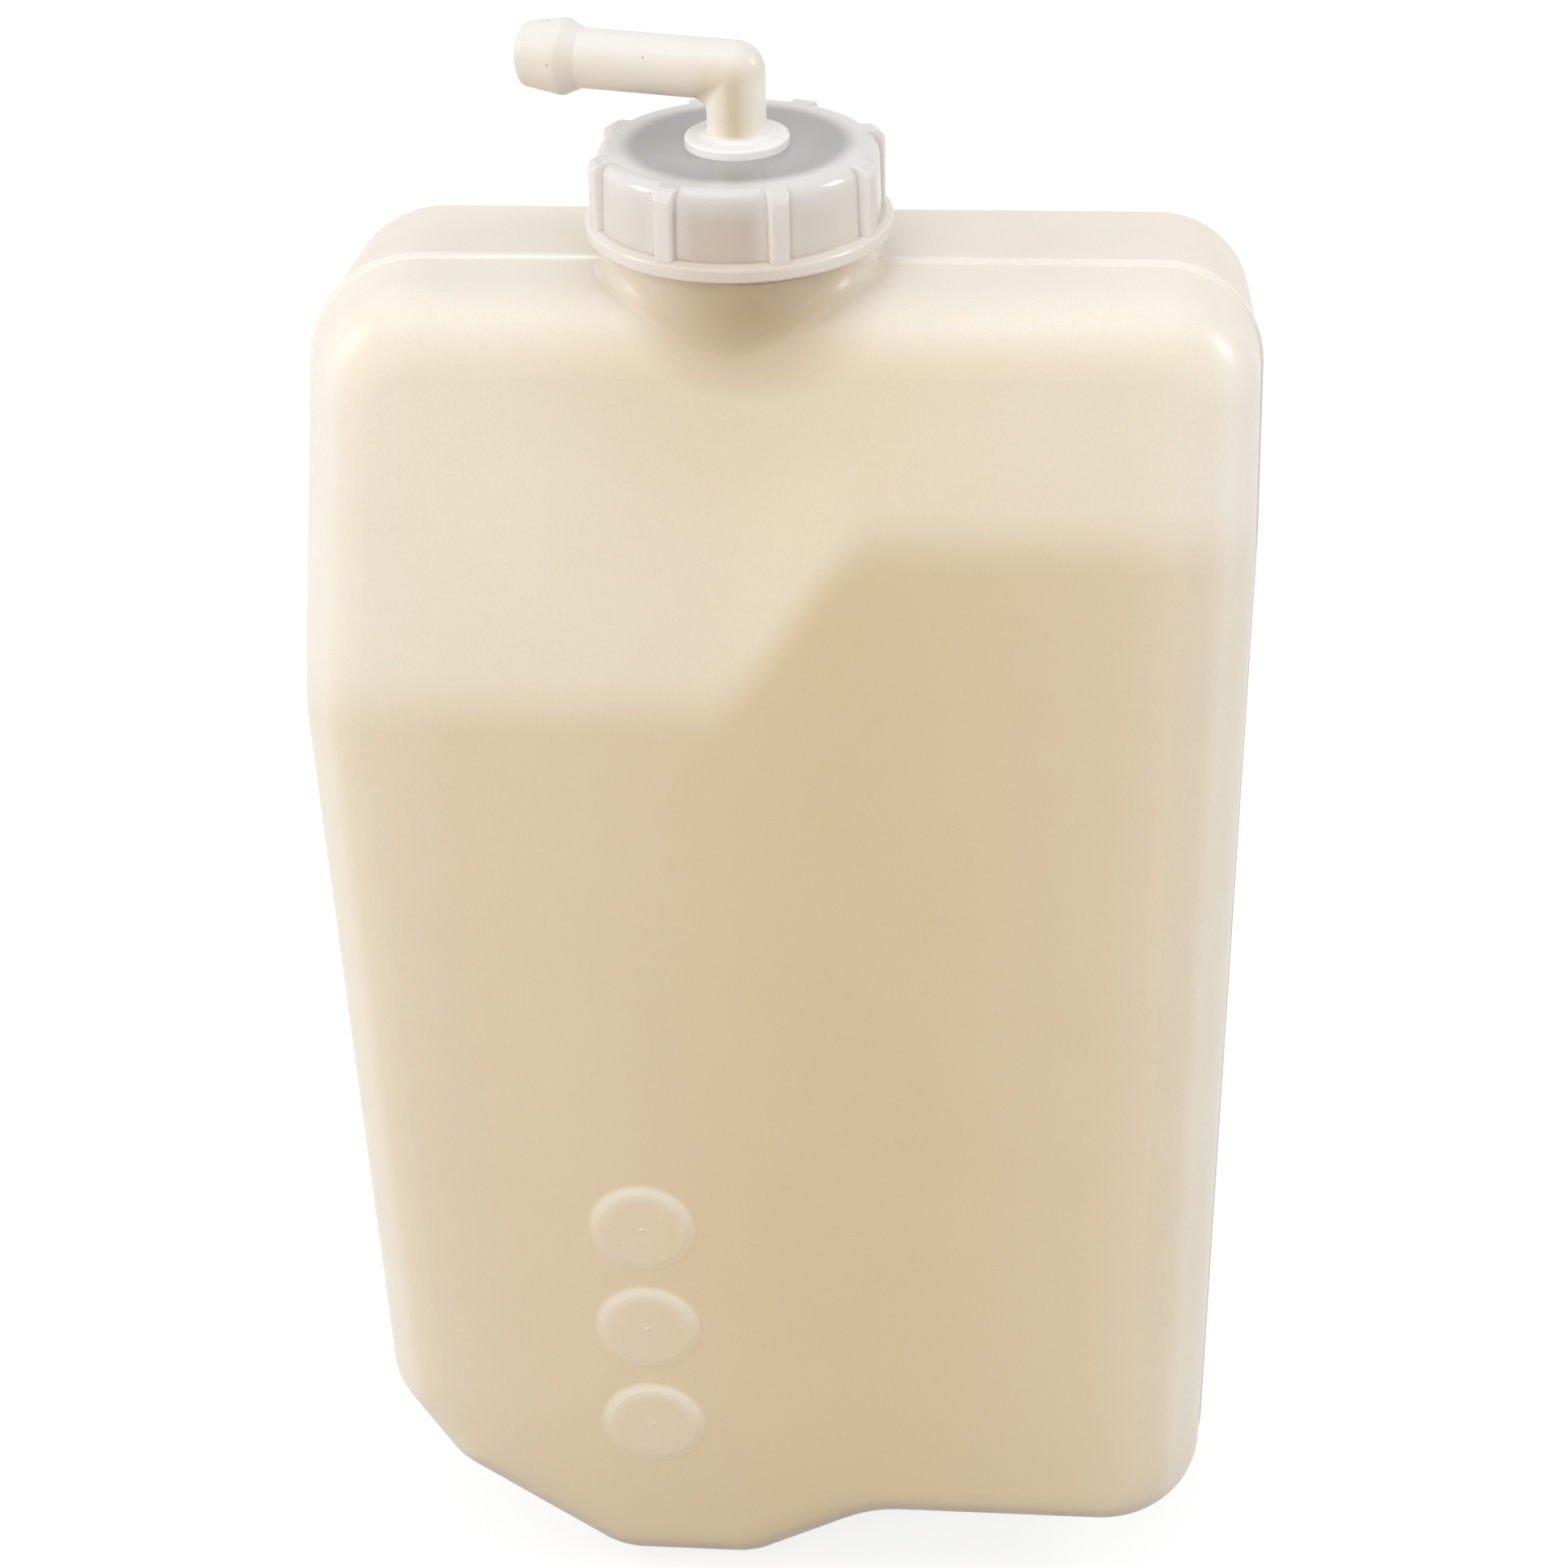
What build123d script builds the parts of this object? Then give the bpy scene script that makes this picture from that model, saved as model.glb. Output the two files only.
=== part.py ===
from build123d import *
import math
import os

# Coolant expansion tank: blow-moulded tank, screw cap, hose elbow through the cap and dip tube below it.
# Millimetres. Origin at the centre of the filler neck's rim, +Z up, front of the tank towards -Y.

# Filler neck
neck_radius = 15.8
neck_wall = 2.0
neck_height = 14.0
neck_base_radius = 18.3
neck_base_gap = 1.0
neck_base_sink = 16.0
neck_fillet = 3.0
neck_edge_radius = 0.8

# Slack in telling which edges lie on a face
edge_slack = 0.1

# Tank outline at the mould's parting plane, seen from the front
tank_height = 241.2
left_top = 62.5
left_bend = 69.6
left_bend_drop = 67.5
left_bottom = 66.5
left_corner_height = 37.9
corner_bevel_width = 9.7
corner_bevel_height = 16.9
right_top = 75.0
right_bend = 75.8
right_bend_drop = 41.5
right_bottom = 74.0
foot_left = 27.5
foot_right = 2.5
rise_right = 18.5
rise_height = 11.5
top_left_radius = 17.5
top_right_radius = 15.0
side_bend_radius = 40.0
bottom_left_radius = 14.0
foot_radius = 14.0
rise_radius = 18.0
bottom_right_radius = 17.0

# Tank section from front to back
wall = 2.2
top_depth = 18.5
foot_depth = 15.5
back_depth = 28.5
flare_angle = 3.8
bend_left_drop = 62.0
bend_right_drop = 33.0
bend_step_left = -5.0
bend_step_width = 24.0
bend_softness = 0.4
draft_angle = 2.5
left_draft_angle = 10.0
left_roll_width = 16.0
left_roll_depth = 3.0
front_edge_radius = 11.0
back_edge_radius = 7.0
parting_bead_height = 0.35
parting_bead_width = 1.2

# Points that the front face is drawn through, and how far they run past the outline
face_columns = 34
face_rows = 52
face_margin = 12.0

# Raised date discs on the front
disc_count = 3
disc_radius = 9.2
disc_height = 0.4
disc_bevel = 2.0
disc_pitch = 21.5
disc_x = -19.0
disc_top_drop = 162.3
disc_pip_radius = 0.5

# Filler cap and its seal
cap_height = 12.5
cap_roof = 2.0
cap_skirt_wall = 2.8
cap_thread_room = 1.5
cap_draft = 2.0
cap_edge_radius = 2.0
cap_flange_reach = 2.05
cap_flange_height = 2.5
cap_flange_rounding = 0.5
cap_rib_count = 8
cap_rib_width = 3.0
cap_rib_reach = 1.6
cap_rib_turn = 21.0
cap_rib_edge_radius = 0.7
seal_thickness = 1.5
seal_overlap = 1.8
seal_clearance = 0.4

# Hose elbow
elbow_radius = 4.25
elbow_bore_radius = 3.1
elbow_flange_radius = 7.5
elbow_flange_height = 1.4
elbow_flange_rounding = 0.45
elbow_rise = 9.2
elbow_arm_length = 31.8
elbow_arm_turn = 12.8
elbow_crease_fillet = 2.0
elbow_fillet = 1.2
barb_length = 9.0
barb_ridge_from_tip = 6.4
barb_ridge_radius = 5.5
barb_tip_radius = 4.5
barb_rounding = 1.5
barb_tip_rounding = 1.2
elbow_turn_clearance = 0.05
spigot_length = 16.0

# Dip tube
dip_tube_wall = 1.3
dip_tube_floor_gap = 10.0
dip_tube_roof_gap = 0.3
dip_tube_cut_angle = 30.0

# Heights that follow from the sizes above
tank_top = -neck_height
tank_bottom = tank_top - tank_height
roof_under = seal_thickness
roof_top = roof_under + cap_roof
cap_bottom = roof_top - cap_height
cap_inner_radius = neck_radius + cap_thread_room
cap_outer_radius = cap_inner_radius + cap_skirt_wall
cap_hole_radius = elbow_radius + elbow_turn_clearance
arm_height = roof_top + elbow_flange_height + elbow_rise

# Taper of the flat face below the bend
bend_left_depth = top_depth + bend_left_drop * math.tan(math.radians(flare_angle))
foot_taper = (bend_left_depth - foot_depth) / (tank_height - bend_left_drop)


def rounded_outline(corners):
    """Closed face through corners (across, up, radius), each rounded unless its radius is 0."""
    arcs = []
    for i, (across, up, radius) in enumerate(corners):
        corner = Vector(across, up)
        before = (Vector(*corners[i - 1][:2]) - corner).normalized()
        after = (Vector(*corners[(i + 1) % len(corners)][:2]) - corner).normalized()
        half_angle = math.radians(before.get_angle(after)) / 2
        reach = radius / math.tan(half_angle)
        middle = corner + (before + after).normalized() * (radius / math.sin(half_angle) - radius)
        arcs.append((corner + before * reach, middle, corner + after * reach))
    edges = []
    for i, (start, middle, end) in enumerate(arcs):
        if corners[i][2]:
            edges.append(ThreePointArc(start, middle, end))
        edges.append(Line(end, arcs[(i + 1) % len(arcs)][0]))
    return make_face(edges)


def turned(corners):
    """Solid of revolution about Z from corners (radius, height, rounding)."""
    return revolve(Plane.XZ * rounded_outline(corners), axis=Axis.Z)


def tank_outline(draw_in=0, left_draw_in=0):
    """The tank's outline, with its sides drawn in from the parting plane's by the mould's draft."""
    left, right = left_draw_in, draw_in
    top, bottom = tank_top - draw_in, tank_bottom + draw_in
    bevel_bottom = bottom + left_corner_height - corner_bevel_height
    corners = [
        (left - left_top, top, top_left_radius),
        (left - left_bend, tank_top - left_bend_drop, side_bend_radius),
        (left - left_bottom, bevel_bottom + corner_bevel_height, bottom_left_radius),
        (left - left_bottom + corner_bevel_width, bevel_bottom, bottom_left_radius),
        (-foot_left, bottom, foot_radius),
        (-foot_right, bottom, foot_radius),
        (rise_right, bottom + rise_height, rise_radius),
        (right_bottom - right, bottom + rise_height, bottom_right_radius),
        (right_bend - right, tank_top - right_bend_drop, side_bend_radius),
        (right_top - right, top, top_right_radius),
    ]
    return rounded_outline(corners)


def front_depth(x, z):
    """Depth of the front face: it flares down to a stepped bend, then tapers as one plane to the foot."""
    drop = tank_top - z
    step = min(max((x - bend_step_left) / bend_step_width, 0), 1)
    step = step * step * (3 - 2 * step)
    bend_drop = bend_left_drop + (bend_right_drop - bend_left_drop) * step
    bend_depth = foot_depth + foot_taper * (tank_height - bend_drop)
    above = top_depth + (bend_depth - top_depth) * drop / bend_drop
    below = foot_depth + foot_taper * (tank_height - drop)
    face = (above + below) / 2 - math.hypot((above - below) / 2, bend_softness)
    edge = left_top + (left_bend - left_top) * min(drop / left_bend_drop, 1)
    roll = max(0, 1 - (x + edge) / left_roll_width)
    return face - left_roll_depth * roll * roll


def front_waste(inset):
    """Everything in front of the front face, to be cut away."""
    width = left_bend + right_bend + 2 * face_margin
    height = tank_height + 2 * face_margin
    grid = []
    for i in range(face_columns):
        x = -left_bend - face_margin + width * i / (face_columns - 1)
        heights = [tank_bottom - face_margin + height * j / (face_rows - 1) for j in range(face_rows)]
        grid.append([Vector(x, inset - front_depth(x, z), z) for z in heights])
    face = Face.make_surface_from_array_of_points(grid, tol=0.01)
    return extrude(face, amount=2 * back_depth, dir=(0, -1, 0))


def tank_form(inset):
    """The tank's closed form, drawn in from the outside by inset."""
    reach = 2 * back_depth
    draft = reach * math.tan(math.radians(draft_angle))
    left_draft = reach * math.tan(math.radians(left_draft_angle))
    middle = tank_outline()
    front_end = tank_outline(draft, left_draft)
    if inset:
        middle = offset(middle, -inset)
        front_end = offset(front_end, -inset)
    front_plane = Plane.XZ.offset(reach)
    front = loft([Plane.XZ * middle, front_plane * front_end], ruled=True) - front_waste(inset)
    back = extrude(Plane.XZ * middle, amount=back_depth - inset, dir=(0, 1, 0), taper=draft_angle)
    form = front + back
    form = fillet(form.faces().sort_by(Axis.Y)[0].edges(), front_edge_radius - inset)
    return fillet(form.faces().sort_by(Axis.Y)[-1].edges(), back_edge_radius - inset)


def filler_neck(inset):
    """The neck and its wide base, down into the tank, drawn in by inset."""
    base = neck_base_radius - inset
    bore = neck_radius - (neck_wall if inset else 0)
    base_top = cap_bottom - neck_base_gap - inset
    rim = inset
    rounding = 0 if inset else neck_edge_radius
    return turned([
        (0, tank_top - neck_base_sink, 0),
        (base, tank_top - neck_base_sink, 0),
        (base, base_top, rounding),
        (bore, base_top, rounding),
        (bore, rim, rounding),
        (0, rim, 0),
    ])


def on_neck_joint(edge):
    """Whether an edge lies where the neck's base meets the tank's top and front."""
    middle = edge @ 0.5
    off_axis = math.hypot(middle.X, middle.Y)
    on_base = neck_base_radius - neck_fillet < off_axis < neck_base_radius + edge_slack
    return on_base and tank_top - neck_base_sink < middle.Z < tank_top + edge_slack


def date_disc(drop):
    """One low round disc with a centre pip, square to the front face at this drop below the tank's top."""
    z = tank_top - drop
    lean = front_depth(disc_x, z) - front_depth(disc_x, z - 1)
    normal = Vector(0, -1, -lean)
    seat = Plane(origin=(disc_x, -front_depth(disc_x, z), z), x_dir=(1, 0, 0), z_dir=normal)
    root = wall / 2
    root_radius = disc_radius + disc_bevel * root / disc_height
    profile = turned([
        (0, -root, 0),
        (root_radius, -root, 0),
        (disc_radius - disc_bevel, disc_height, 0),
        (disc_pip_radius, disc_height, 0),
        (0, disc_height + disc_pip_radius / 2, 0),
    ])
    return seat * profile


def tank_body():
    """Blow-moulded tank with its filler neck, hollow, with the parting bead and the date discs outside."""
    body = tank_form(0) + filler_neck(0)
    body = fillet(body.edges().filter_by(on_neck_joint), neck_fillet)
    bead = offset(tank_outline(), parting_bead_height)
    body += extrude(Plane.XZ * bead, amount=parting_bead_width / 2, both=True)
    for i in range(disc_count):
        body += date_disc(disc_top_drop + i * disc_pitch)
    body -= tank_form(wall)
    body -= filler_neck(wall)
    return body


def cap_profile(reach):
    """Outside of the cap's skirt and roof, standing out by reach, closed on the axis."""
    lower = cap_outer_radius + cap_height * math.tan(math.radians(cap_draft))
    return turned([
        (0, cap_bottom, 0),
        (lower + reach, cap_bottom, 0),
        (cap_outer_radius + reach, roof_top, cap_edge_radius),
        (0, roof_top, 0),
    ])


def filler_cap():
    """Screw cap: roof, skirt, grip ribs and a stepped flange round its mouth."""
    cap = cap_profile(0)
    rib_length = cap_outer_radius + cap_rib_reach
    rib = Plane.XY.offset(cap_bottom) * Pos(rib_length / 2, 0) * RectangleRounded(
        rib_length, cap_rib_width, cap_rib_edge_radius
    )
    rib = extrude(rib, amount=cap_height) & cap_profile(cap_rib_reach)
    for i in range(cap_rib_count):
        cap += Rot(0, 0, cap_rib_turn - 90 + 360 * i / cap_rib_count) * rib
    flange_radius = cap_outer_radius + cap_flange_reach
    cap += turned([
        (0, cap_bottom, 0),
        (flange_radius, cap_bottom, cap_flange_rounding),
        (flange_radius, cap_bottom + cap_flange_height - cap_flange_rounding, cap_flange_rounding),
        (flange_radius - 2 * cap_flange_rounding, cap_bottom + cap_flange_height, 0),
        (0, cap_bottom + cap_flange_height, 0),
    ])
    cap -= turned([
        (0, cap_bottom, 0),
        (cap_inner_radius, cap_bottom, 0),
        (cap_inner_radius, roof_under, 0),
        (0, roof_under, 0),
    ])
    cap -= Pos(0, 0, roof_under) * Cylinder(cap_hole_radius, 3 * cap_roof)
    return cap


def cap_seal():
    """Flat ring between the cap's roof and the neck's rim."""
    outer = cap_inner_radius - seal_clearance
    inner = neck_radius - neck_wall - seal_overlap
    ring = Circle(outer) - Circle(inner)
    return extrude(ring, amount=seal_thickness)


def elbow_pipe(radius, bottom, length):
    """Round pipe up the cap's axis from bottom, round a ball corner, then out along X by length."""
    on_end = (Align.CENTER, Align.CENTER, Align.MIN)
    corner = Pos(0, 0, arm_height)
    stem = Pos(0, 0, bottom) * Cylinder(radius, arm_height - bottom, align=on_end)
    arm = corner * Rot(0, 90, 0) * Cylinder(radius, length, align=on_end)
    return stem + arm + corner * Sphere(radius)


def hose_elbow():
    """Barbed nipple bent through a right angle, with a flange on the cap's roof and a spigot through it."""
    spigot_bottom = roof_top - spigot_length
    elbow = elbow_pipe(elbow_radius, spigot_bottom, elbow_arm_length - barb_length)
    elbow = fillet(elbow.edges().filter_by(GeomType.ELLIPSE), elbow_crease_fillet)
    elbow += turned([
        (0, roof_top, 0),
        (elbow_flange_radius, roof_top, 0),
        (elbow_flange_radius, roof_top + elbow_flange_height, elbow_flange_rounding),
        (elbow_radius, roof_top + elbow_flange_height, elbow_fillet),
        (elbow_radius, roof_top + elbow_flange_height + 2 * elbow_fillet, 0),
        (0, roof_top + elbow_flange_height + 2 * elbow_fillet, 0),
    ])
    barb = turned([
        (0, 0, 0),
        (elbow_radius, 0, 0),
        (barb_ridge_radius, barb_length - barb_ridge_from_tip, barb_rounding),
        (barb_tip_radius, barb_length, barb_tip_rounding),
        (0, barb_length, 0),
    ])
    elbow += Pos(elbow_arm_length - barb_length, 0, arm_height) * Rot(0, 90, 0) * barb
    elbow -= elbow_pipe(elbow_bore_radius, spigot_bottom, elbow_arm_length)
    return Rot(0, 0, 180 - elbow_arm_turn) * elbow


def dip_tube():
    """Straight tube pushed on to the elbow's spigot, cut slanting just above the tank's floor."""
    top = roof_under - dip_tube_roof_gap
    radius = elbow_radius + dip_tube_wall
    bottom = tank_bottom + wall + dip_tube_floor_gap
    tube = extrude(Circle(radius) - Circle(elbow_radius), amount=top - bottom)
    tube = Pos(0, 0, bottom) * tube
    slant = Plane(origin=(0, 0, bottom), z_dir=(math.sin(math.radians(dip_tube_cut_angle)), 0, 1))
    lift = radius * math.tan(math.radians(dip_tube_cut_angle))
    return split(tube, bisect_by=slant.offset(lift), keep=Keep.TOP)


parts = {
    "tank_body": tank_body(),
    "filler_cap": filler_cap(),
    "cap_seal": cap_seal(),
    "hose_elbow": hose_elbow(),
    "dip_tube": dip_tube(),
}

os.makedirs("parts", exist_ok=True)
for name, solid in parts.items():
    export_step(solid, f"parts/{name}.step")
    print(name, "solids", len(solid.solids()), "valid", solid.is_valid, "volume", round(solid.volume))
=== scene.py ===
import math
import bpy
from mathutils import Matrix, Vector

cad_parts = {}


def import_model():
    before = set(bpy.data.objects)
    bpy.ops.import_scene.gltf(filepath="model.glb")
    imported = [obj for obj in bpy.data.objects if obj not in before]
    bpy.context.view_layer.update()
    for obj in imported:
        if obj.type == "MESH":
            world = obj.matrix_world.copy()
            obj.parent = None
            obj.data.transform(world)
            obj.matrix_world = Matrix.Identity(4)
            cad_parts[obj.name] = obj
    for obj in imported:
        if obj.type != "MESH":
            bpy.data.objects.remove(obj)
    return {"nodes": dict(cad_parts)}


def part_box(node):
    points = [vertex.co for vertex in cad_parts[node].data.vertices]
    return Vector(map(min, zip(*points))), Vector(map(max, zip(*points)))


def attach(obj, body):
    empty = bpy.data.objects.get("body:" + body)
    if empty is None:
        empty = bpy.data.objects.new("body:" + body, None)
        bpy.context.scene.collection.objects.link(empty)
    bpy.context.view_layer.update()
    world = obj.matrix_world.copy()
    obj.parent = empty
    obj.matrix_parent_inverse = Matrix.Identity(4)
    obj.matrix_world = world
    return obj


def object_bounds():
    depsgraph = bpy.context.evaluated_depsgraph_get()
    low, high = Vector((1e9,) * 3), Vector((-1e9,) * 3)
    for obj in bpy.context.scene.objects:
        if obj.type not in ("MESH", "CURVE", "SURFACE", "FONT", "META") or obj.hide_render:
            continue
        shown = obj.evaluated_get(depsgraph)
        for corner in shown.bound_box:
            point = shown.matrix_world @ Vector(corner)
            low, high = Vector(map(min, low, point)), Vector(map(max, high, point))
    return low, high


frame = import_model()
cad_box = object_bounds()

# Lengths are in metres and places in the part's frame. Colours are display colours, from 0 to 255.
# A share says how strongly a tone is mixed in. A turn is one part of the surface's normal, from -1 to 1.
cap_low, cap_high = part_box("filler_cap")
tank_low, tank_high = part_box("tank_body")

# Camera, found from the photograph's outline, with angles in degrees and the sensor in millimetres
camera_place = Vector((0.0487, -0.4604, 0.1699))
camera_heading = -5.5
camera_drop = 30.44
camera_roll = -1.44
camera_near = 0.01
focal_pixels = 4200
image_pixels = 1932
sensor_width = 36

# Tank's left outline, measured from the neck's axis
tank_top = -0.014
left_bend_drop = 0.0675
left_top = 0.0625
left_bend = 0.0696
left_bottom = 0.0665

# Bend across the tank's front, higher on the right, and the even tone of the back, which takes an even share
# of the painted shade from below the bend
bend_left_drop = 0.062
bend_right_drop = 0.033
bend_step_left = -0.006
bend_step_width = 0.028
bend_blur_above = 0.0055
bend_blur_below = 0.0065
back_shade_share = 0.5

# Tank's tan, deepest along one upright line and below the bend, where the deeper tan is painted shade
core_shade_place = 0.015
core_shade_reach = 0.06
upper_tan = (233, 221, 199)
upper_core_shade = (229, 215, 190)
lower_shaded_tan = (223, 204, 174)
lower_core_shade = (215, 194, 156)

# Tank's painted light: paler where the wall turns up or to the side, at the parting line and near the sides
upper_lit_colour = (238, 231, 219)
lower_lit_colour = (235, 225, 208)
side_turn_start = 0.22
side_turn_end = 0.60
top_turn_start = 0.30
top_turn_end = 0.95
face_depth_near = 0.010
parting_zone = 0.004
left_pale_far = 0.028
left_pale_near = 0.002
right_pale_far = 0.024
right_pale_near = 0.004
side_pale_share = 0.5

# Painted shade at the tank's foot and on its underside, and painted light on its parting bead, which lifts
# the shade in the bead's crease
foot_shade_reach = 0.05
foot_shade_share = 0.35
foot_shade_colour = (198, 180, 150)
under_turn_start = -0.20
under_turn_end = -0.75
underside_shade_share = 0.85
underside_shade_colour = (132, 116, 98)
bead_edge = 0.0016
bead_core = 0.0009
bead_light_share = 0.7
bead_light_colour = (250, 246, 240)

# Painted shade at the filler neck's foot and on its wide base, under the cap
neck_foot = (0.0, -0.0175, -0.021)
neck_foot_far = 0.036
neck_foot_near = 0.006
neck_foot_shade_share = 0.2
neck_foot_shade_colour = (202, 180, 144)
neck_base_radius = 0.0183
neck_base_low = -0.0275
neck_base_high = -0.0190
neck_halo_width = 0.0045
neck_halo_share = 0.12
neck_wall_blur = 0.0011
neck_wall_share = 0.15
neck_base_shade_colour = (180, 156, 122)

# Shade on the tank's front, under the cap
shade_x = 0.003
shade_z = -0.0150
shade_reach = 0.0185
shade_core = 0.0015
shade_squash = 1.4
shade_back = -0.006
shade_front = -0.014
shade_share = 0.90
shade_colour = (180, 156, 123)

# Raised discs on the tank's front, palest on their upper edges, where a highlight is painted
disc_count = 3
disc_x = -0.019
disc_top_drop = 0.1623
disc_pitch = 0.0215
disc_radius = 0.0092
disc_bevel = 0.002
disc_edge_out = disc_radius - disc_bevel * 0.5
disc_edge_in = disc_radius - disc_bevel * 2.2
disc_highlight_low = -disc_radius * 0.4
disc_highlight_high = disc_radius * 0.8
disc_edge_share = 0.55
disc_share = 0.15
disc_tone_and_highlight = (238, 229, 214)

# Cap's roof, grey over the neck's mouth and lighter over its rim
mouth_zone_radius = 0.0160
mouth_zone_blur = 0.0016
mouth_core = 0.004
mouth_edge_grey = (164, 161, 161)
mouth_core_grey = (179, 174, 171)
roof_rim_colour = (219, 216, 214)
roof_low = cap_high.z - 0.0012
roof_high = cap_high.z - 0.0001

# Cap's skirt, warm in front of the neck, and paler to the sides with painted light
skirt_front = 0.0035
skirt_side = 0.0185
skirt_top_end = cap_high.z - 0.0010
skirt_low_start = cap_high.z - 0.0050
skirt_front_top = (209, 203, 199)
skirt_side_lit_top = (225, 220, 216)
skirt_front_low = (200, 185, 168)
skirt_side_lit_low = (223, 216, 208)

# Cap's grip ribs, paler, with painted light beside them that lifts their shade, and its flange, paler to the
# sides with painted light
panel_radius = 0.0204
rib_count = 8
rib_angle = math.radians(21)
rib_rise_start = panel_radius + 0.0002
rib_rise_end = panel_radius + 0.0010
rib_share = 0.6
rib_light_far = 0.0045
rib_light_near = 0.0016
rib_light_share = 0.5
rib_light_colour = (228, 221, 215)
cap_flange_above = cap_low.z + 0.0030
cap_flange_top = cap_low.z + 0.0022
cap_flange_share = 0.85
cap_flange_front = (212, 198, 184)
cap_flange_side_lit = (227, 220, 213)

# Elbow's cream, cloudy, and warmer on upright faces with painted shade and painted bounce light from the
# tank
elbow_cream = (230, 227, 222)
elbow_cloud = (224, 218, 209)
elbow_cloud_low = 0.35
elbow_cloud_high = 0.7
elbow_cloud_share = 0.35
elbow_turned_shade = (220, 207, 186)
elbow_turned_shade_share = 0.75

# Elbow's stem, with painted shade that deepens it in front and painted light that makes it paler at its
# sides, and its flange
stem_far = 0.0075
stem_near = 0.0050
stem_foot = 0.0052
stem_foot_end = 0.0060
stem_head = 0.0120
stem_head_end = 0.0175
stem_turn_start = 0.10
stem_turn_end = 0.90
stem_light_and_shade_share = 0.8
stem_front_shade = (207, 188, 158)
stem_side_light = (248, 243, 234)
elbow_flange_above = 0.0056
elbow_flange_top = 0.0049
elbow_flange_share = 0.8
elbow_flange_colour = (241, 240, 240)

# Hidden pieces
seal_grey = (96, 95, 94)
seal_dark = (82, 81, 80)
tube_pale = (226, 224, 214)
tube_deep = (205, 202, 188)

# Fine surface of all materials: a noise's usual range, and the depth of the relief
noise_low = 0.3
noise_high = 0.7
relief_depth = 0.0001

# Screw thread between neck and cap
thread_pitch = 0.004
thread_turns = 1.5
thread_height = 0.0011
thread_root_width = 0.0017
thread_tip_width = 0.0008
thread_sink = 0.0002
thread_first_height = -0.0083
thread_least = 0.15
neck_radius = 0.0158
cap_bore_radius = 0.0173
steps_per_turn = 72
run_out_steps = 12

# Floor and even light
white = (1, 1, 1, 1)
floor_size = 6.0
floor_shadow = 0.20
floor_shadow_gain = 1.3
floor_bounce = 0.6
ambient = 0.70

# Lamps: name, place, width, height, power in watts, and whether reflections show it
lamp_target = Vector((0.0, 0.0, -0.12))
lamps = (
    ("top_lamp", (-0.20, -0.30, 0.80), 0.60, 0.60, 0.9, True),
    ("left_lamp", (-0.85, -0.12, 0.38), 0.25, 0.35, 1.8, True),
    ("right_lamp", (0.86, 0.06, 0.44), 0.25, 0.35, 2.2, True),
    ("front_lamp", (-0.35, -1.15, 0.45), 0.90, 0.90, 5.6, False),
)


def srgb(colour):
    """Linear colour, with alpha, of a display colour."""
    linear = []
    for value in colour:
        level = value / 255
        linear.append(level / 12.92 if level <= 0.04045 else ((level + 0.055) / 1.055) ** 2.4)
    return (*linear, 1.0)


def grey(level):
    """Linear grey, with alpha."""
    return (level, level, level, 1.0)


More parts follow.
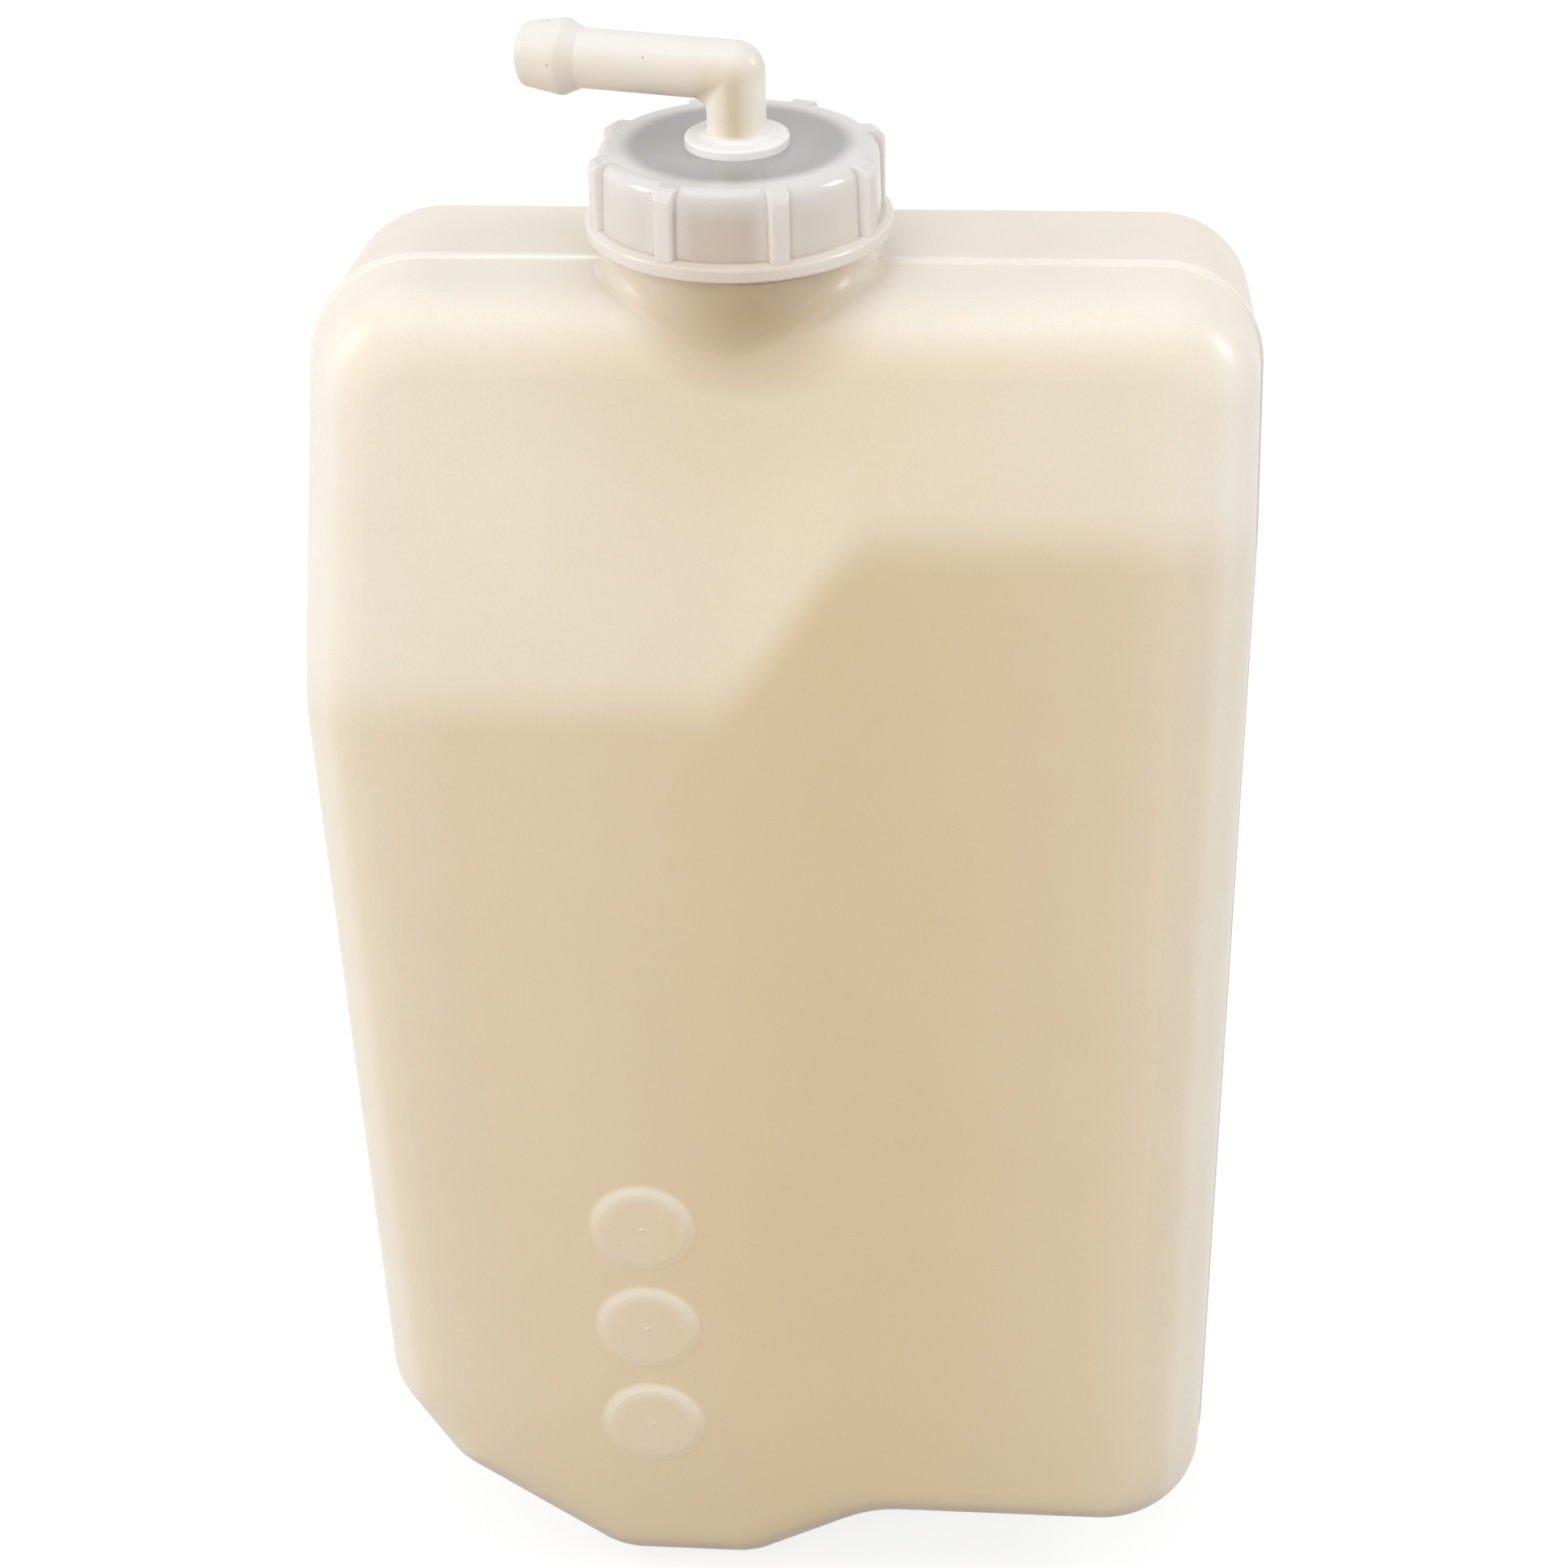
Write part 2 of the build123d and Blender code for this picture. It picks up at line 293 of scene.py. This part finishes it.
class Graph:
    """The node tree of a material or a world, with short calls to add nodes to it."""

    def __init__(self, owner):
        owner.use_nodes = True
        self.owner = owner
        self.tree = owner.node_tree

    def add(self, kind, inputs=None, **settings):
        """A node of this kind, with its settings, and its inputs linked to sockets or set to values."""
        node = self.tree.nodes.new(kind)
        for name, value in settings.items():
            setattr(node, name, value)
        for key, value in (inputs or {}).items():
            self.put(node.inputs[key], value)
        return node

    def put(self, socket, value):
        """Links a socket to another one, or sets it to a constant."""
        if isinstance(value, bpy.types.NodeSocket):
            self.tree.links.new(value, socket)
        else:
            socket.default_value = value

    def math(self, operation, first, second=0.0):
        """Result of a sum on one or two values."""
        return self.add("ShaderNodeMath", {0: first, 1: second}, operation=operation).outputs[0]

    def ramp(self, value, low, high, start=0.0, end=1.0, smooth=True):
        """Value taken from low..high to start..end, and held outside."""
        kind = "SMOOTHSTEP" if smooth else "LINEAR"
        inputs = {"Value": value, "From Min": low, "From Max": high, "To Min": start, "To Max": end}
        return self.add("ShaderNodeMapRange", inputs, interpolation_type=kind).outputs["Result"]

    def tint(self, colour):
        """A colour as a socket takes it: a socket stays one, and a display colour becomes linear."""
        return colour if isinstance(colour, bpy.types.NodeSocket) else srgb(colour)

    def mix(self, share, first, second):
        """Colour between two colours."""
        node = self.add("ShaderNodeMix", data_type="RGBA")
        self.put(node.inputs[0], share)
        self.put(node.inputs[6], self.tint(first))
        self.put(node.inputs[7], self.tint(second))
        return node.outputs[2]

    def noise(self, place, scale, detail=2.0):
        """Soft noise with this many cells in a metre."""
        inputs = {"Vector": place, "Scale": scale, "Detail": detail}
        return self.add("ShaderNodeTexNoise", inputs).outputs["Fac"]

    def spread(self, noise, start, end):
        """A noise's usual range taken to start..end."""
        return self.ramp(noise, noise_low, noise_high, start, end, smooth=False)

    def dapple(self, colour, noise, share, dapple_colour):
        """The colour, with up to a share of another one where a noise is high."""
        return self.mix(self.spread(noise, 0, share), colour, dapple_colour)

    def place(self):
        """Point on the object, its three coordinates and its normal there, all in the object's own frame."""
        coordinates = self.add("ShaderNodeTexCoord")
        point = coordinates.outputs["Object"]
        parts = self.add("ShaderNodeSeparateXYZ", {0: point}).outputs
        normal = self.add("ShaderNodeSeparateXYZ", {0: coordinates.outputs["Normal"]}).outputs
        return point, parts, normal

    def length(self, across, along):
        """Length of a flat vector. For x and y it is the distance from the filler neck's axis."""
        flat = self.add("ShaderNodeCombineXYZ", {0: across, 1: along}).outputs[0]
        return self.add("ShaderNodeVectorMath", {0: flat}, operation="LENGTH").outputs["Value"]

    def speckle(self, colour, place, cells, size, portion, share, speck_colour):
        """The colour with small round specks, in a portion of a grid's cells."""
        cell = self.add("ShaderNodeTexVoronoi", {"Vector": place, "Scale": cells})
        near = self.ramp(cell.outputs["Distance"], size, size / 2)
        pick = self.add("ShaderNodeSeparateColor", {0: cell.outputs["Color"]}).outputs[0]
        chosen = self.math("GREATER_THAN", pick, 1 - portion)
        speck = self.math("MULTIPLY", near, chosen)
        return self.mix(self.math("MULTIPLY", speck, share), colour, speck_colour)

    def seen(self):
        """1 for what the camera, a reflection or a clear material shows, and 0 for other light."""
        paths = self.add("ShaderNodeLightPath").outputs
        mirrored = self.math("MAXIMUM", paths["Is Glossy Ray"], paths["Is Transmission Ray"])
        return self.math("MAXIMUM", paths["Is Camera Ray"], mirrored)

    def bump(self, height, strength):
        """Fine relief on the shader."""
        inputs = {"Height": height, "Strength": strength, "Distance": relief_depth}
        self.finish(normal=self.add("ShaderNodeBump", inputs).outputs["Normal"])

    def finish(self, **values):
        """Sets the shader's own inputs, such as its colour and roughness, and gives the material."""
        shader = self.tree.nodes["Principled BSDF"]
        for name, value in values.items():
            self.put(shader.inputs[name.replace("_", " ").title()], value)
        return self.owner


def tank_painted_light(graph, x, y, z, normal):
    """Painted light: 1 where the tank's wall turns and at its parting line, and less near its left and right
    sides.
    """
    side_lit = graph.ramp(graph.math("ABSOLUTE", normal[0]), side_turn_start, side_turn_end, smooth=False)
    top_lit = graph.ramp(normal[2], top_turn_start, top_turn_end)
    turned = graph.math("MAXIMUM", side_lit, top_lit)
    thin = graph.ramp(graph.math("ABSOLUTE", y), face_depth_near, parting_zone)
    bend_height = tank_top - left_bend_drop
    upper_left = graph.ramp(z, bend_height, tank_top, -left_bend, -left_top, smooth=False)
    lower_left = graph.ramp(z, tank_low.z, bend_height, left_bend - left_bottom, 0, smooth=False)
    from_left = graph.math("SUBTRACT", x, graph.math("ADD", upper_left, lower_left))
    from_right = graph.math("SUBTRACT", tank_high.x, x)
    at_left = graph.ramp(from_left, left_pale_far, left_pale_near)
    at_right = graph.ramp(from_right, right_pale_far, right_pale_near)
    at_side = graph.math("MULTIPLY", graph.math("MAXIMUM", at_left, at_right), side_pale_share)
    return graph.math("MAXIMUM", graph.math("MAXIMUM", turned, thin), at_side)


def tank_below_shade(graph, x, y, z):
    """Mask of the painted shade: 1 below the bend across the tank's front and 0 above it, with an even tone
    on the back.
    """
    step = graph.ramp(x, bend_step_left, bend_step_left + bend_step_width)
    bend = graph.ramp(step, 0, 1, tank_top - bend_left_drop, tank_top - bend_right_drop, smooth=False)
    below = graph.ramp(graph.math("SUBTRACT", z, bend), bend_blur_above, -bend_blur_below)
    front = graph.ramp(y, face_depth_near, -parting_zone)
    behind = graph.math("MULTIPLY", graph.math("SUBTRACT", 1.0, front), back_shade_share)
    return graph.math("ADD", graph.math("MULTIPLY", below, front), behind)


def tank_wall(graph, x, y, z, normal):
    """Tan on the tank's flat faces, with painted shade that deepens it below the bend and along one upright
    line, and painted light that makes it paler where the wall turns.
    """
    below = tank_below_shade(graph, x, y, z)
    # Painted shade: deeper tan along one upright line, between the side lamps
    core_shade = graph.ramp(graph.math("ABSOLUTE", graph.math("SUBTRACT", x, core_shade_place)), core_shade_reach, 0.0)
    upper = graph.mix(core_shade, upper_tan, upper_core_shade)
    lower = graph.mix(core_shade, lower_shaded_tan, lower_core_shade)
    tan = graph.mix(below, upper, lower)
    # Painted light: the paler colours where the wall turns
    pale = graph.mix(below, upper_lit_colour, lower_lit_colour)
    return graph.mix(tank_painted_light(graph, x, y, z, normal), tan, pale)


def disc_tone_and_highlight_mask(graph, x, y, z):
    """Painted highlight, strongest on the upper edges of the tank's raised discs, and a faint paler tone
    over the rest of them.
    """
    mask = 0.0
    for i in range(disc_count):
        across = graph.math("SUBTRACT", x, disc_x)
        rise = graph.math("SUBTRACT", z, tank_top - disc_top_drop - i * disc_pitch)
        reach = graph.length(across, rise)
        inside = graph.ramp(reach, disc_radius, disc_edge_out)
        edge = graph.ramp(reach, disc_edge_in, disc_edge_out)
        upper = graph.ramp(rise, disc_highlight_low, disc_highlight_high)
        shine = graph.math("MULTIPLY", graph.math("MULTIPLY", edge, upper), disc_edge_share)
        disc = graph.math("MULTIPLY", inside, graph.math("ADD", shine, disc_share))
        mask = graph.math("MAXIMUM", mask, disc)
    return graph.math("MULTIPLY", mask, graph.ramp(y, 0.0, -face_depth_near))


def neck_shades(graph, colour, point, x, y, z):
    """The tank's colour, with painted shade at the filler neck's foot, on its wide base and in front under
    the cap.
    """
    apart = {0: point, 1: neck_foot}
    from_foot = graph.add("ShaderNodeVectorMath", apart, operation="DISTANCE").outputs["Value"]
    neck_foot_shade = graph.ramp(from_foot, neck_foot_far, neck_foot_near, 0, neck_foot_shade_share)
    colour = graph.mix(neck_foot_shade, colour, neck_foot_shade_colour)
    reach = graph.length(x, y)
    halo = graph.ramp(reach, neck_base_radius + neck_halo_width, neck_base_radius, 0, neck_halo_share)
    wall = graph.ramp(reach, neck_base_radius + neck_wall_blur, neck_base_radius, 0, neck_wall_share)
    high = graph.ramp(z, neck_base_low, neck_base_high)
    colour = graph.mix(graph.math("MULTIPLY", graph.math("ADD", halo, wall), high), colour, neck_base_shade_colour)
    across = graph.math("SUBTRACT", x, shade_x)
    along = graph.math("MULTIPLY", graph.math("SUBTRACT", z, shade_z), shade_squash)
    shade = graph.ramp(graph.length(across, along), shade_reach, shade_core, 0, shade_share, smooth=False)
    shade = graph.math("MULTIPLY", shade, graph.ramp(y, shade_back, shade_front))
    return graph.mix(shade, colour, shade_colour)


def tank_material():
    """Milky polyethylene: tan, with painted light on its bends and parting bead and painted shade below its
    bend, at its foot, on its underside and at its neck, mottled, with a fine grain.
    """
    graph = Graph(bpy.data.materials.new("milky_polyethylene"))
    point, (x, y, z), normal = graph.place()
    colour = tank_wall(graph, x, y, z, normal)
    # Painted shade: darker towards the foot and on faces turned down
    foot_shade = graph.ramp(z, tank_low.z + foot_shade_reach, tank_low.z, 0, foot_shade_share)
    colour = graph.mix(foot_shade, colour, foot_shade_colour)
    under = graph.ramp(normal[2], under_turn_start, under_turn_end, 0, underside_shade_share)
    colour = graph.mix(under, colour, underside_shade_colour)
    # Painted light: a paler parting bead, lifting the shade in its crease
    bead = graph.ramp(graph.math("ABSOLUTE", y), bead_edge, bead_core, 0, bead_light_share)
    colour = graph.mix(bead, colour, bead_light_colour)
    colour = graph.mix(disc_tone_and_highlight_mask(graph, x, y, z), colour, disc_tone_and_highlight)
    colour = neck_shades(graph, colour, point, x, y, z)
    mottle = graph.noise(point, scale=45, detail=3)
    colour = graph.dapple(colour, mottle, share=0.06, dapple_colour=(200, 170, 125))
    grain = graph.noise(point, scale=2400)
    colour = graph.dapple(colour, grain, share=0.06, dapple_colour=(180, 150, 110))
    colour = graph.speckle(
        colour, point, cells=90, size=0.035, portion=0.10, share=0.35, speck_colour=(120, 95, 70))
    graph.bump(grain, strength=0.10)
    return graph.finish(
        base_color=colour,
        roughness=graph.spread(graph.noise(point, scale=160), start=0.28, end=0.36),
        subsurface_weight=0.15,
        subsurface_radius=(0.004, 0.003, 0.002),
    )


def cap_roof(graph, radius):
    """Grey over the neck's open mouth, and lighter over its rim."""
    over_mouth = graph.ramp(radius, mouth_zone_radius + mouth_zone_blur, mouth_zone_radius - mouth_zone_blur)
    inward = graph.ramp(radius, mouth_zone_radius - mouth_zone_blur, mouth_core)
    mouth = graph.mix(inward, mouth_edge_grey, mouth_core_grey)
    return graph.mix(over_mouth, roof_rim_colour, mouth)


def cap_rib_light(graph, x, y, radius):
    """Painted light, strongest on the cap's ribs, and fading over the panels beside them, where it lifts the
    ribs' shade.
    """
    proud = graph.ramp(radius, rib_rise_start, rib_rise_end)
    turn = graph.math("SUBTRACT", graph.math("ARCTAN2", y, x), rib_angle)
    from_rib = graph.math("MULTIPLY", graph.math("PINGPONG", turn, math.pi / rib_count), panel_radius)
    rib_light = graph.ramp(from_rib, rib_light_far, rib_light_near, 0, rib_light_share)
    off_rib = graph.math("MULTIPLY", graph.math("SUBTRACT", 1.0, proud), rib_light)
    return graph.math("ADD", off_rib, graph.math("MULTIPLY", proud, rib_share))


def cap_skirt(graph, x, y, z, radius):
    """Warm in front of the neck, with painted light that makes it paler to the sides and on the ribs, and
    its own tone on the flange, also paler to the sides with painted light.
    """
    side_lit = graph.ramp(graph.math("ABSOLUTE", x), skirt_front, skirt_side, smooth=False)
    top = graph.mix(side_lit, skirt_front_top, skirt_side_lit_top)
    low = graph.mix(side_lit, skirt_front_low, skirt_side_lit_low)
    panel = graph.mix(graph.ramp(z, skirt_top_end, skirt_low_start), top, low)
    skirt = graph.mix(cap_rib_light(graph, x, y, radius), panel, rib_light_colour)
    on_flange = graph.ramp(z, cap_flange_above, cap_flange_top, 0, cap_flange_share)
    flange = graph.mix(side_lit, cap_flange_front, cap_flange_side_lit)
    return graph.mix(on_flange, skirt, flange)


def cap_material():
    """Thin milky plastic, through which the neck below seems to show, with painted light on its skirt and
    flange to the sides and at its ribs.
    """
    graph = Graph(bpy.data.materials.new("milky_cap_plastic"))
    point, (x, y, z) = graph.place()[:2]
    radius = graph.length(x, y)
    on_roof = graph.ramp(z, roof_low, roof_high)
    colour = graph.mix(on_roof, cap_skirt(graph, x, y, z, radius), cap_roof(graph, radius))
    grain = graph.noise(point, scale=2600)
    colour = graph.dapple(colour, grain, share=0.03, dapple_colour=(165, 160, 160))
    colour = graph.speckle(
        colour, point, cells=500, size=0.07, portion=0.35, share=0.4, speck_colour=(110, 100, 95))
    graph.bump(graph.noise(point, scale=500), strength=0.02)
    return graph.finish(
        base_color=colour,
        roughness=graph.spread(graph.noise(point, scale=300), start=0.11, end=0.15),
        subsurface_weight=0.5,
        subsurface_radius=(1.0, 0.95, 0.9),
        subsurface_scale=0.001,
    )


def stem_light_and_shade_mask(graph, x, y, z):
    """Mask of the painted shade and light on the elbow's upright stem, strong between its flange and its
    arm.
    """
    near = graph.ramp(graph.length(x, y), stem_far, stem_near)
    above_foot = graph.ramp(z, stem_foot, stem_foot_end)
    below_head = graph.ramp(z, stem_head_end, stem_head)
    on_stem = graph.math("MULTIPLY", near, graph.math("MULTIPLY", above_foot, below_head))
    return graph.math("MULTIPLY", on_stem, stem_light_and_shade_share)


def elbow_material():
    """Opaque cream plastic, with painted shade that makes it warmer on upright faces and in front of its
    stem, painted light on the stem's sides, and a few dark specks.
    """
    graph = Graph(bpy.data.materials.new("cream_plastic"))
    point, (x, y, z), normal = graph.place()
    cloud = graph.noise(point, scale=120, detail=3)
    cloud = graph.ramp(cloud, elbow_cloud_low, elbow_cloud_high, 0, elbow_cloud_share, smooth=False)
    colour = graph.mix(cloud, elbow_cream, elbow_cloud)
    # Painted shade and bounce light: warmer on faces turned from the top light
    colour = graph.mix(graph.ramp(normal[2], 1.0, 0.0, 0, elbow_turned_shade_share), colour, elbow_turned_shade)
    stem_side_lit = graph.ramp(graph.math("ABSOLUTE", normal[0]), stem_turn_start, stem_turn_end, smooth=False)
    stem = graph.mix(stem_side_lit, stem_front_shade, stem_side_light)
    colour = graph.mix(stem_light_and_shade_mask(graph, x, y, z), colour, stem)
    on_flange = graph.ramp(z, elbow_flange_above, elbow_flange_top, 0, elbow_flange_share)
    colour = graph.mix(on_flange, colour, elbow_flange_colour)
    colour = graph.speckle(
        colour, point, cells=420, size=0.10, portion=0.8, share=0.7, speck_colour=(120, 100, 80))
    graph.bump(graph.noise(point, scale=2800), strength=0.04)
    return graph.finish(
        base_color=colour,
        roughness=graph.spread(graph.noise(point, scale=400), start=0.30, end=0.40),
        subsurface_weight=0.2,
        subsurface_radius=(0.003, 0.0025, 0.002),
    )


def seal_material():
    """Dark rubber with fine pores."""
    graph = Graph(bpy.data.materials.new("dark_seal_rubber"))
    point = graph.place()[0]
    pores = graph.noise(point, scale=1500, detail=3)
    graph.bump(pores, strength=0.2)
    return graph.finish(
        base_color=graph.mix(pores, seal_grey, seal_dark),
        roughness=graph.spread(pores, start=0.6, end=0.8),
    )


def tube_material():
    """Soft milky tube with faint lines from its extrusion."""
    graph = Graph(bpy.data.materials.new("milky_tube_plastic"))
    x, y, z = graph.place()[1]
    round_tube = {"W": graph.math("ARCTAN2", y, x), "Scale": 9.0, "Detail": 2.0}
    streaks = graph.add("ShaderNodeTexNoise", round_tube, noise_dimensions="1D").outputs["Fac"]
    graph.bump(streaks, strength=0.1)
    return graph.finish(
        base_color=graph.mix(streaks, tube_pale, tube_deep),
        roughness=graph.ramp(streaks, noise_low, noise_high, start=0.3, end=0.42),
    )


def paint(piece, material):
    """Gives a piece one material."""
    piece.data.materials.clear()
    piece.data.materials.append(material)


def mesh_piece(name, points, faces, material):
    """A mesh object in the scene, with one material."""
    mesh = bpy.data.meshes.new(name)
    mesh.from_pydata(points, [], faces)
    mesh.update()
    piece = bpy.data.objects.new(name, mesh)
    bpy.context.scene.collection.objects.link(piece)
    paint(piece, material)
    return piece


def run_out(i, steps):
    """Share of the thread's height at a step: low at both ends, and full between."""
    near_end = min(1, min(i, steps - i) / run_out_steps)
    return thread_least + (1 - thread_least) * near_end * near_end * (3 - 2 * near_end)


def thread_ridge(name, wall_radius, side, first_height, body, material):
    """Helical ridge on a round wall, standing out (side 1) or in (side -1), that runs out at both ends."""
    points = []
    steps = int(thread_turns * steps_per_turn)
    root = wall_radius - side * thread_sink
    half_root = thread_root_width / 2
    half_tip = thread_tip_width / 2
    for i in range(steps + 1):
        turn = 2 * math.pi * i / steps_per_turn
        height = first_height + thread_pitch * i / steps_per_turn
        tip = wall_radius + side * thread_height * run_out(i, steps)
        section = ((root, -half_root), (tip, -half_tip), (tip, half_tip), (root, half_root))
        for radius, rise in section:
            points.append((radius * math.cos(turn), radius * math.sin(turn), height + rise))
    corners = range(len(section))
    last = len(section) * steps
    faces = [tuple(corners), tuple(last + k for k in reversed(corners))]
    for i in range(steps):
        here = len(section) * i
        there = here + len(section)
        for k in corners:
            after = (k + 1) % len(section)
            faces.append((here + k, there + k, there + after, here + after))
    if side > 0:
        faces = [face[::-1] for face in faces]
    piece = mesh_piece(name, points, faces, material)
    piece.data.shade_smooth()
    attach(piece, body)
    bevel = piece.modifiers.new("rounding", "BEVEL")
    bevel.width = thread_tip_width / 4
    bevel.segments = 2
    bevel.limit_method = "ANGLE"


def floor_material():
    """Pale floor: to the camera it is white but for a faint shadow."""
    graph = Graph(bpy.data.materials.new("pale_floor"))
    graph.tree.nodes.clear()
    bright = graph.add("ShaderNodeEmission", {"Color": white, "Strength": 1 - floor_shadow}).outputs[0]
    shaded = graph.add("ShaderNodeBsdfDiffuse", {"Color": grey(floor_shadow_gain * floor_shadow)}).outputs[0]
    shown = graph.add("ShaderNodeAddShader", {0: bright, 1: shaded}).outputs[0]
    pale = graph.add("ShaderNodeBsdfDiffuse", {"Color": grey(floor_bounce)}).outputs[0]
    surface = graph.add("ShaderNodeMixShader", {0: graph.seen(), 1: pale, 2: shown}).outputs[0]
    graph.add("ShaderNodeOutputMaterial", {"Surface": surface})
    return graph.owner


def floor():
    """Flat floor at the tank's foot."""
    half = floor_size / 2
    height = cad_box[0].z
    corners = [(-half, -half, height), (half, -half, height), (half, half, height), (-half, half, height)]
    mesh_piece("floor", corners, [(0, 1, 2, 3)], floor_material())


def world():
    """Even light from all round, and white where the camera or a reflection sees it."""
    graph = Graph(bpy.data.worlds.new("studio"))
    graph.tree.nodes.clear()
    soft = graph.add("ShaderNodeBackground", {"Color": white, "Strength": ambient}).outputs[0]
    bright = graph.add("ShaderNodeBackground", {"Color": white, "Strength": 1.0}).outputs[0]
    surface = graph.add("ShaderNodeMixShader", {0: graph.seen(), 1: soft, 2: bright}).outputs[0]
    graph.add("ShaderNodeOutputWorld", {"Surface": surface})
    bpy.context.scene.world = graph.owner


def lamp(name, place, width, height, power, reflected):
    """Soft rectangular lamp that faces the tank's middle."""
    data = bpy.data.lights.new(name, "AREA")
    data.shape = "RECTANGLE"
    data.size = width
    data.size_y = height
    data.energy = power
    piece = bpy.data.objects.new(name, data)
    piece.location = place
    piece.rotation_euler = (lamp_target - Vector(place)).to_track_quat("-Z", "Y").to_euler()
    piece.visible_glossy = reflected
    bpy.context.scene.collection.objects.link(piece)


def camera():
    """Camera at the photograph's place and angle."""
    heading, drop, roll = (math.radians(angle) for angle in (camera_heading, camera_drop, camera_roll))
    level = math.cos(drop)
    ahead = Vector((math.sin(heading) * level, math.cos(heading) * level, -math.sin(drop)))
    right = Vector((math.cos(heading), -math.sin(heading), 0))
    up = right.cross(ahead)
    rolled_right = right * math.cos(roll) + up * math.sin(roll)
    rolled_up = up * math.cos(roll) - right * math.sin(roll)
    data = bpy.data.cameras.new("camera")
    data.sensor_width = sensor_width
    data.lens = sensor_width * focal_pixels / image_pixels
    data.clip_start = camera_near
    piece = bpy.data.objects.new("camera", data)
    turn = Matrix((rolled_right, rolled_up, -ahead)).transposed()
    piece.matrix_world = Matrix.Translation(camera_place) @ turn.to_4x4()
    bpy.context.scene.collection.objects.link(piece)
    bpy.context.scene.camera = piece


nodes = frame["nodes"]
tank_plastic = tank_material()
cap_plastic = cap_material()
paint(nodes["tank_body"], tank_plastic)
paint(nodes["filler_cap"], cap_plastic)
paint(nodes["cap_seal"], seal_material())
paint(nodes["hose_elbow"], elbow_material())
paint(nodes["dip_tube"], tube_material())

thread_ridge("neck_thread", neck_radius, 1, thread_first_height, "tank", tank_plastic)
cap_thread_height = thread_first_height + thread_pitch / 2
thread_ridge("cap_thread", cap_bore_radius, -1, cap_thread_height, "cap", cap_plastic)

floor()
world()
for settings in lamps:
    lamp(*settings)
camera()
bpy.context.scene.view_settings.view_transform = "Standard"
